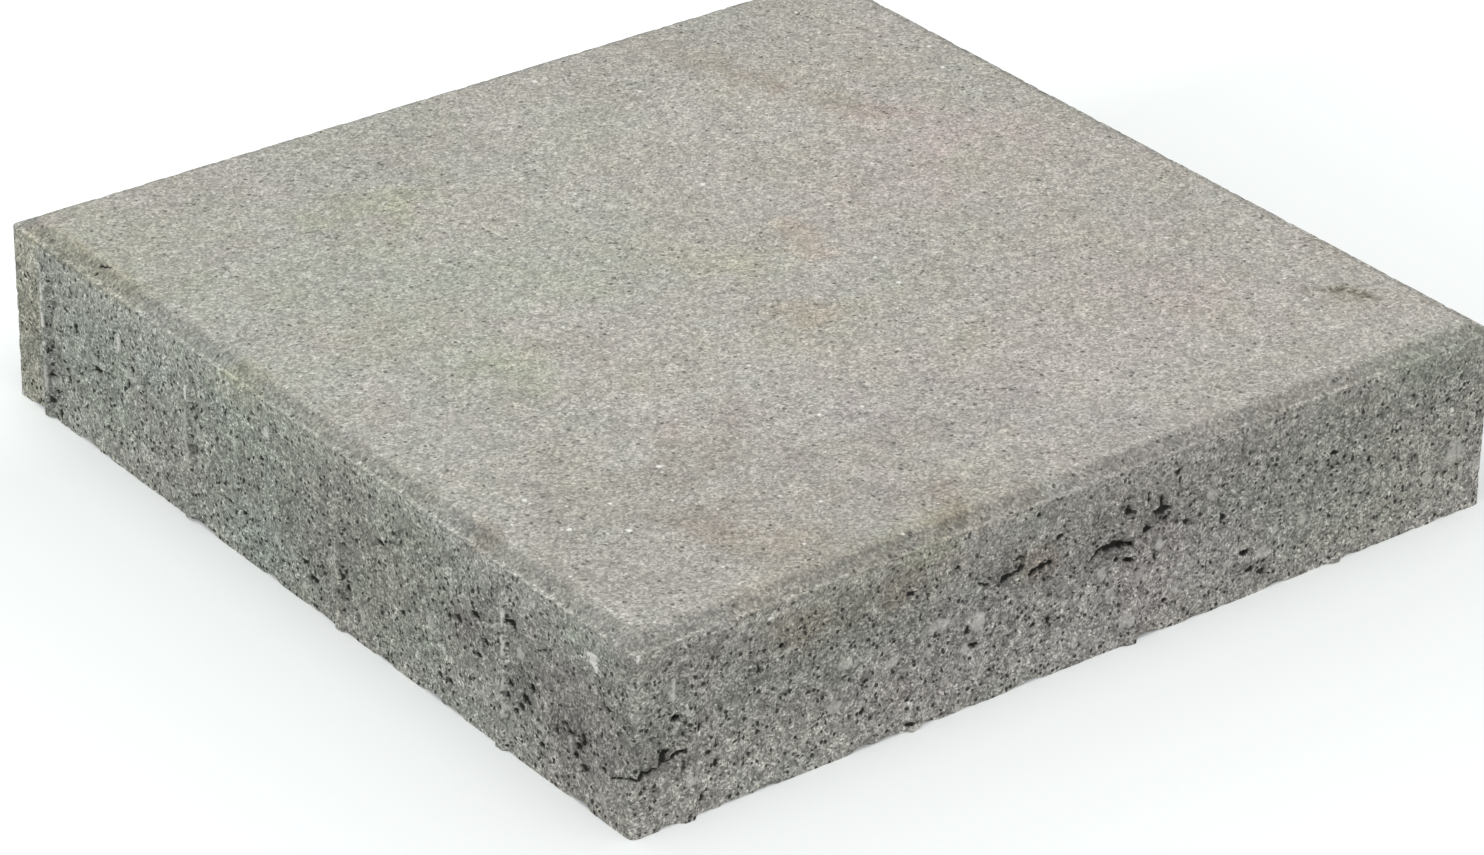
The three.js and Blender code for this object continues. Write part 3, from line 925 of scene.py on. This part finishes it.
def pressed_concrete(shape, finish):
    """Vibro-pressed concrete: a matt grey of cement paste and sand, skinned and paler where the stamp
    pressed the face, darker and open-pored on the sides where it slid out of the mould, that darkness partly
    painted shade. Pores, hollows, chamfer and crease get painted shade, the low walls painted bounce light."""
    material = bpy.data.materials.new("Vibro-pressed concrete")
    recipe = Recipe(material)
    add, sum_of, times = recipe.add, recipe.sum_of, recipe.times
    clouds, cells, spots, layered = recipe.clouds, recipe.cells, recipe.spots, recipe.layered
    x, y, z = add("SeparateXYZ", recipe.place).outputs
    inward = sum_of((recipe.reach(x, y), -1.0), start=shape.width / 2)

    def at_depth(start, end, height=z):
        """Eases from 0 to 1 between two depths below the wearing face, in mm."""
        return add("MapRange", height, shape.thickness - start * MM, shape.thickness - end * MM, **EASED)

    def at_reach(start, end):
        """Eases from 0 to 1 between two distances inward from the walls, in mm."""
        return add("MapRange", inward, start * MM, end * MM, **EASED)

    # The stamped face, the walls, and the coarse backing mix below the finer facing of the top 15 mm.
    face = at_depth(1.4, 0.4)
    wall = at_depth(4.0, 5.0)
    coarse = at_depth(10, 20, sum_of((clouds(9, 3, 0.5, 0.0), 9 * MM), start=z))
    openness = sum_of((wall, 0.45), (coarse, 0.38), (face, -0.17), start=0.17)

    def graded(on_face, on_side):
        """A value on the stamped face that passes to another on the open sides."""
        return sum_of((openness, on_side - on_face), start=on_face)

    # Slow drift from a greenish grey at one corner to a warm one at the other, with soft blotches.
    drift = sum_of((sum_of((x, -1.0), start=y), 1.1), (clouds(70, 3, 0.6, 0.0), 2.4))
    hue = add("MapRange", drift, -0.6, 0.7, **EASED)
    skin = sum_of((face, 0.5), (wall, -0.5), start=0.5)
    blotch = add("MapRange", clouds(30, 3, 0.6, 9.0), -0.1, 0.2, **EASED)
    straw = times(blotch, graded(0.4, 0.15))
    side_colour = layered(finish.side_warm, (hue, finish.side_cool, "MIX"))
    face_colour = layered(finish.face_warm, (hue, finish.face_cool, "MIX"))
    stain = add("Attribute", attribute_name="stain").outputs["Color"]
    base = layered(
        side_colour, (skin, face_colour, "MIX"), (straw, finish.straw, "MULTIPLY"), (1.0, stain, "MULTIPLY")
    )

    # The sand, the cement's mottling, stones, and marks that are calmer than the concrete round them.
    marks = (add("Attribute", attribute_name=name) for name in ("pale", "cavity"))
    pale, cavity = (mark.outputs["Fac"] for mark in marks)
    sand = clouds(finish.sand / MM, 2, 0.8, 1.0)
    mottle = clouds(7, 3, 0.6, 5.0)
    knots = clouds(3.0, 1, 0.5, 7.0)
    _, grain_tone, _ = cells(finish.sand / MM * 1.1)
    _, grit_tone, _ = cells(finish.gravel / MM, recipe.bent(2.0, 1.6))
    stone_distance, stone_chance, stone_tone = cells(9.0, recipe.bent(4.0, 4.0))
    stone = times(spots(stone_distance, stone_chance, 0.45, 0.36, -0.02, 0.05), coarse)
    marked = add("Math", times(pale, 3.0), 1.0, operation="MINIMUM")
    calm = sum_of((add("Math", stone, marked, operation="MAXIMUM"), -0.5), start=1.0)
    grain = sum_of(
        (sand, graded(2.5, 4.6)),
        (sum_of((grain_tone, 1.0), start=-0.5), graded(0.95, 1.4)),
        (sum_of((grit_tone, 1.0), start=-0.5), graded(0.3, 0.6)),
        (knots, graded(0.45, 1.2)),
    )

    # The stamped edge: its ledge and the ledge's inner lip, the chamfer and the crease at its foot, with
    # painted shade on the chamfer and in the crease, and painted bounce light from the floor low on the
    # walls.
    above_ledge = sum_of((z, 1.0), start=shape.chamfer_drop - shape.thickness)
    from_ledge = add("Math", above_ledge, operation="ABSOLUTE")
    ledge = add("MapRange", from_ledge, 0.5 * MM, 0.2 * MM, **EASED)
    brightened = add("MapRange", clouds(12, 3, 0.6, 12.0), -0.12, 0.12, **EASED)
    # Painted shade that darkens the sloping chamfer.
    chamfer_shade = times(at_depth(4.1, 3.8), at_reach(8.6, 6.4))
    rim = times(at_reach(0.7, 0.3), at_depth(5.6, 4.6))
    # Painted shade in the crease where the chamfer meets the ledge.
    crease_shade = times(at_reach(1.7, 2.1), at_reach(3.8, 2.8))
    lip = times(ledge, times(at_reach(0.4, 0.8), at_reach(2.0, 1.6)))
    # Painted bounce light from the floor: the walls lighter towards the bottom.
    floor_bounce_light = times(add("MapRange", z, 34 * MM, 6 * MM, **EASED), wall)

    # Brightness in stops.
    stops = sum_of(
        (clouds(48, 3, 0.6, 3.0), 0.35),
        (mottle, graded(0.2, 1.1)),
        (times(grain, calm), 1.0),
        (times(stone, sum_of((stone_tone, 1.0), start=-0.3)), 0.8),
        (times(ledge, brightened), 0.2),
        (ledge, -0.22),
        (chamfer_shade, -0.29),
        (rim, -0.14),
        (lip, 0.04),
        (times(lip, clouds(4, 2, 0.6, 19.0)), 1.6),
        (times(crease_shade, chamfer_shade), -0.1),
        (floor_bounce_light, 0.16),
    )
    tone = add("Math", 2.0, stops, operation="POWER")
    toned = add("VectorMath", base, named={"Scale": tone}, operation="SCALE")

    # Open pores, denser in some places than in others, and the sunk hollows, all filled with painted shade;
    # pale and ochre grains, and the pale marks with the painted highlights on the nibs.
    crowd = times(clouds(13, 2, 0.6, 15.0), graded(-0.3, -1.4))
    pore_distance, pore_chance, _ = cells(2.0, recipe.bent(1.3, 1.2))
    pore_share = sum_of((crowd, 1.0), start=graded(0.86, 0.42))
    pore = times(spots(pore_distance, pore_chance, pore_share, 0.45, -0.05, 0.14), calm)
    open_pore = times(pore, graded(0.6, 0.95))
    hollow_shade = add("MapRange", cavity, 0.3, 0.9, **EASED)
    shade = add("Math", open_pore, hollow_shade, operation="MAXIMUM")
    fleck_distance, fleck_chance, fleck_kind = cells(4.6)
    fleck = spots(fleck_distance, fleck_chance, 0.8, 0.17, -0.02, 0.04)
    ochre = add("Math", fleck_kind, 0.88, operation="GREATER_THAN")
    fleck_colour = layered(finish.pale_stone, (ochre, finish.ochre_stone, "MIX"))
    colour = layered(
        toned,
        (shade, finish.pore_shade, "MIX"),
        (times(fleck, 0.7), fleck_colour, "MIX"),
        (times(pale, 0.97), finish.pale_stone, "MIX"),
    )

    # Fine relief, in metres: sand everywhere, pores and stones on the sides.
    height = sum_of(
        (sand, graded(0.4 * MM, 1.0 * MM)),
        (grain_tone, graded(0.06 * MM, 0.18 * MM)),
        (mottle, graded(0.0, 0.8 * MM)),
        (knots, graded(0.0, 0.6 * MM)),
        (stone, 0.3 * MM),
        (pore, graded(-0.3 * MM, -0.8 * MM)),
    )
    bump = add("Bump", named={"Strength": 1.0, "Distance": 1.0, "Height": height})
    surface = {"Base Color": colour, "Normal": bump, "Roughness": finish.roughness}
    surface |= {"IOR": 1.5, "Specular IOR Level": 0.25}
    shader = add("BsdfPrincipled", named=surface)
    add("OutputMaterial", shader, is_active_output=True)
    return material


def looked_at(recipe):
    """1 for what the camera sees, straight or in gloss or glass, and 0 for what only lights the slab."""
    rays = recipe.add("LightPath").outputs
    mirrored = (rays["Is Glossy Ray"], rays["Is Transmission Ray"])
    indirect = recipe.add("Math", *mirrored, operation="MAXIMUM")
    return recipe.add("Math", rays["Is Camera Ray"], indirect, operation="MAXIMUM")


def floor_paint(setting):
    """Matt studio paint, pale grey to the light. The camera sees the slab's shadow run out to white."""
    material = bpy.data.materials.new("Matt studio paint")
    recipe = Recipe(material)
    add = recipe.add
    x, y, _ = add("SeparateXYZ", recipe.place).outputs
    bounce = add("BsdfDiffuse", setting.floor)
    paint = add("BsdfDiffuse", PAINT_SEEN)
    # The glow grows with the distance from the slab, so that the floor and the backdrop end in plain white.
    reach = recipe.reach(recipe.sum_of((x, 1.0), start=-GLOW_CENTRE), y)
    around = add("MapRange", reach, *GLOW_AROUND, **EASED)
    strength = recipe.sum_of((around, 1.0), start=add("MapRange", y, *GLOW_BEHIND, **EASED))
    glow = add("Emission", GLOW_COLOUR, strength)
    seen = add("AddShader", paint, glow)
    add("OutputMaterial", add("MixShader", looked_at(recipe), bounce, seen))
    return material


# --- operators


class PAVING_OT_slab(bpy.types.Operator):
    """Models the slab, roughens it and gives it its concrete"""

    bl_idname = "paving.slab"
    bl_label = "Concrete slab"

    def execute(self, context):
        shape, relief = context.scene.slab_shape, context.scene.slab_relief
        bpy.ops.object.select_all(action="DESELECT")
        block(shape)
        raise_nibs(shape)
        split_evenly(shape)
        edge = shape.ledge_width + shape.chamfer_width + shape.arris_width
        close_level(shape, shape.thickness, edge, shape.face_pitch)
        close_level(shape, 0.0, 0.0, shape.bed_pitch)
        refine_marks(shape, relief)
        bpy.ops.mesh.select_all(action="SELECT")
        bpy.ops.mesh.normals_make_consistent(inside=False)
        bpy.ops.object.mode_set(mode="OBJECT")
        slab = context.object
        slab.name = "slab_body"
        slab.data.name = "slab_body"
        give_relief(slab, shape, relief)
        bpy.ops.object.shade_smooth_by_angle(angle=math.radians(SHARP_ABOVE))
        slab.data.materials.append(pressed_concrete(shape, context.scene.concrete_finish))
        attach(slab, "root")
        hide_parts(NODE)
        triangles = sum(len(face.vertices) - 2 for face in slab.data.polygons)
        if triangles > MOST_TRIANGLES:
            raise RuntimeError(f"the slab has {triangles} triangles, which is more than {MOST_TRIANGLES}")
        print("slab triangles", triangles)
        return {"FINISHED"}


class PAVING_OT_stage(bpy.types.Operator):
    """Lays the floor and sets the lights and the camera"""

    bl_idname = "paving.stage"
    bl_label = "Floor, light and camera"

    def execute(self, context):
        setting = context.scene.stage_setting
        context.scene.view_settings.view_transform = "Standard"
        bpy.ops.object.select_all(action="DESELECT")
        bpy.ops.mesh.primitive_plane_add(size=FLOOR_SIZE, location=(0, 0, 0))
        floor = context.object
        floor.name = "studio_floor"
        floor.data.materials.append(floor_paint(setting))
        self.light(context, setting)
        self.camera(context, setting)
        return {"FINISHED"}

    def light(self, context, setting):
        """Even light all round, white to the camera, and one large soft lamp overhead."""
        world = bpy.data.worlds.new("Studio light")
        context.scene.world = world
        recipe = Recipe(world)
        seen = recipe.add("Background", (1, 1, 1), 1.0)
        fill = recipe.add("Background", (1, 1, 1), setting.fill)
        mix = recipe.add("MixShader", looked_at(recipe), fill, seen)
        recipe.add("OutputWorld", mix)
        lamp = bpy.data.lights.new("overhead_lamp", "AREA")
        lamp.shape = "SQUARE"
        lamp.size = LAMP_SIZE
        lamp.energy = setting.lamp
        holder = bpy.data.objects.new("overhead_lamp", lamp)
        context.collection.objects.link(holder)
        holder.location = LAMP_PLACE
        holder.rotation_euler = (-Vector(LAMP_PLACE)).to_track_quat("-Z", "Y").to_euler()

    def camera(self, context, setting):
        """A long lens above one corner of the slab."""
        lens = bpy.data.cameras.new("camera")
        lens.lens = setting.lens
        lens.sensor_width = SENSOR_WIDTH
        lens.sensor_fit = "HORIZONTAL"
        lens.clip_start = CLIP_START
        holder = bpy.data.objects.new("camera", lens)
        context.collection.objects.link(holder)
        yaw, pitch, roll = (math.radians(angle) for angle in CAMERA_ANGLES)
        forward = Vector((math.cos(yaw) * math.cos(pitch), math.sin(yaw) * math.cos(pitch), -math.sin(pitch)))
        right = Vector((math.sin(yaw), -math.cos(yaw), 0))
        up = right.cross(forward)
        across = right * math.cos(roll) + up * math.sin(roll)
        above = up * math.cos(roll) - right * math.sin(roll)
        turned = Matrix((across, above, -forward)).transposed().to_4x4()
        holder.matrix_world = Matrix.Translation(CAMERA_PLACE) @ turned
        context.scene.camera = holder


class PAVING_PT_panel(bpy.types.Panel):
    """Buttons for the slab and its stage"""

    bl_idname = "PAVING_PT_panel"
    bl_label = "Concrete paving slab"
    bl_space_type = "VIEW_3D"
    bl_region_type = "UI"
    bl_category = "Paving"

    def draw(self, context):
        for operator, groups in (
            (PAVING_OT_slab, ("slab_shape", "slab_relief", "concrete_finish")),
            (PAVING_OT_stage, ("stage_setting",)),
        ):
            box = self.layout.box()
            box.operator(operator.bl_idname)
            for group in groups:
                holder = getattr(context.scene, group)
                for name in holder.__annotations__:
                    box.prop(holder, name)


GROUPS = {
    "slab_shape": SlabShape,
    "slab_relief": SlabRelief,
    "concrete_finish": ConcreteFinish,
    "stage_setting": StageSetting,
}
CLASSES = (*GROUPS.values(), PAVING_OT_slab, PAVING_OT_stage, PAVING_PT_panel)


def register():
    for item in CLASSES:
        bpy.utils.register_class(item)
    for name, group in GROUPS.items():
        setattr(bpy.types.Scene, name, bpy.props.PointerProperty(type=group))


def unregister():
    for name in GROUPS:
        delattr(bpy.types.Scene, name)
    for item in reversed(CLASSES):
        bpy.utils.unregister_class(item)


def main():
    register()
    bpy.ops.paving.slab()
    bpy.ops.paving.stage()


if __name__ == "__main__":
    main()
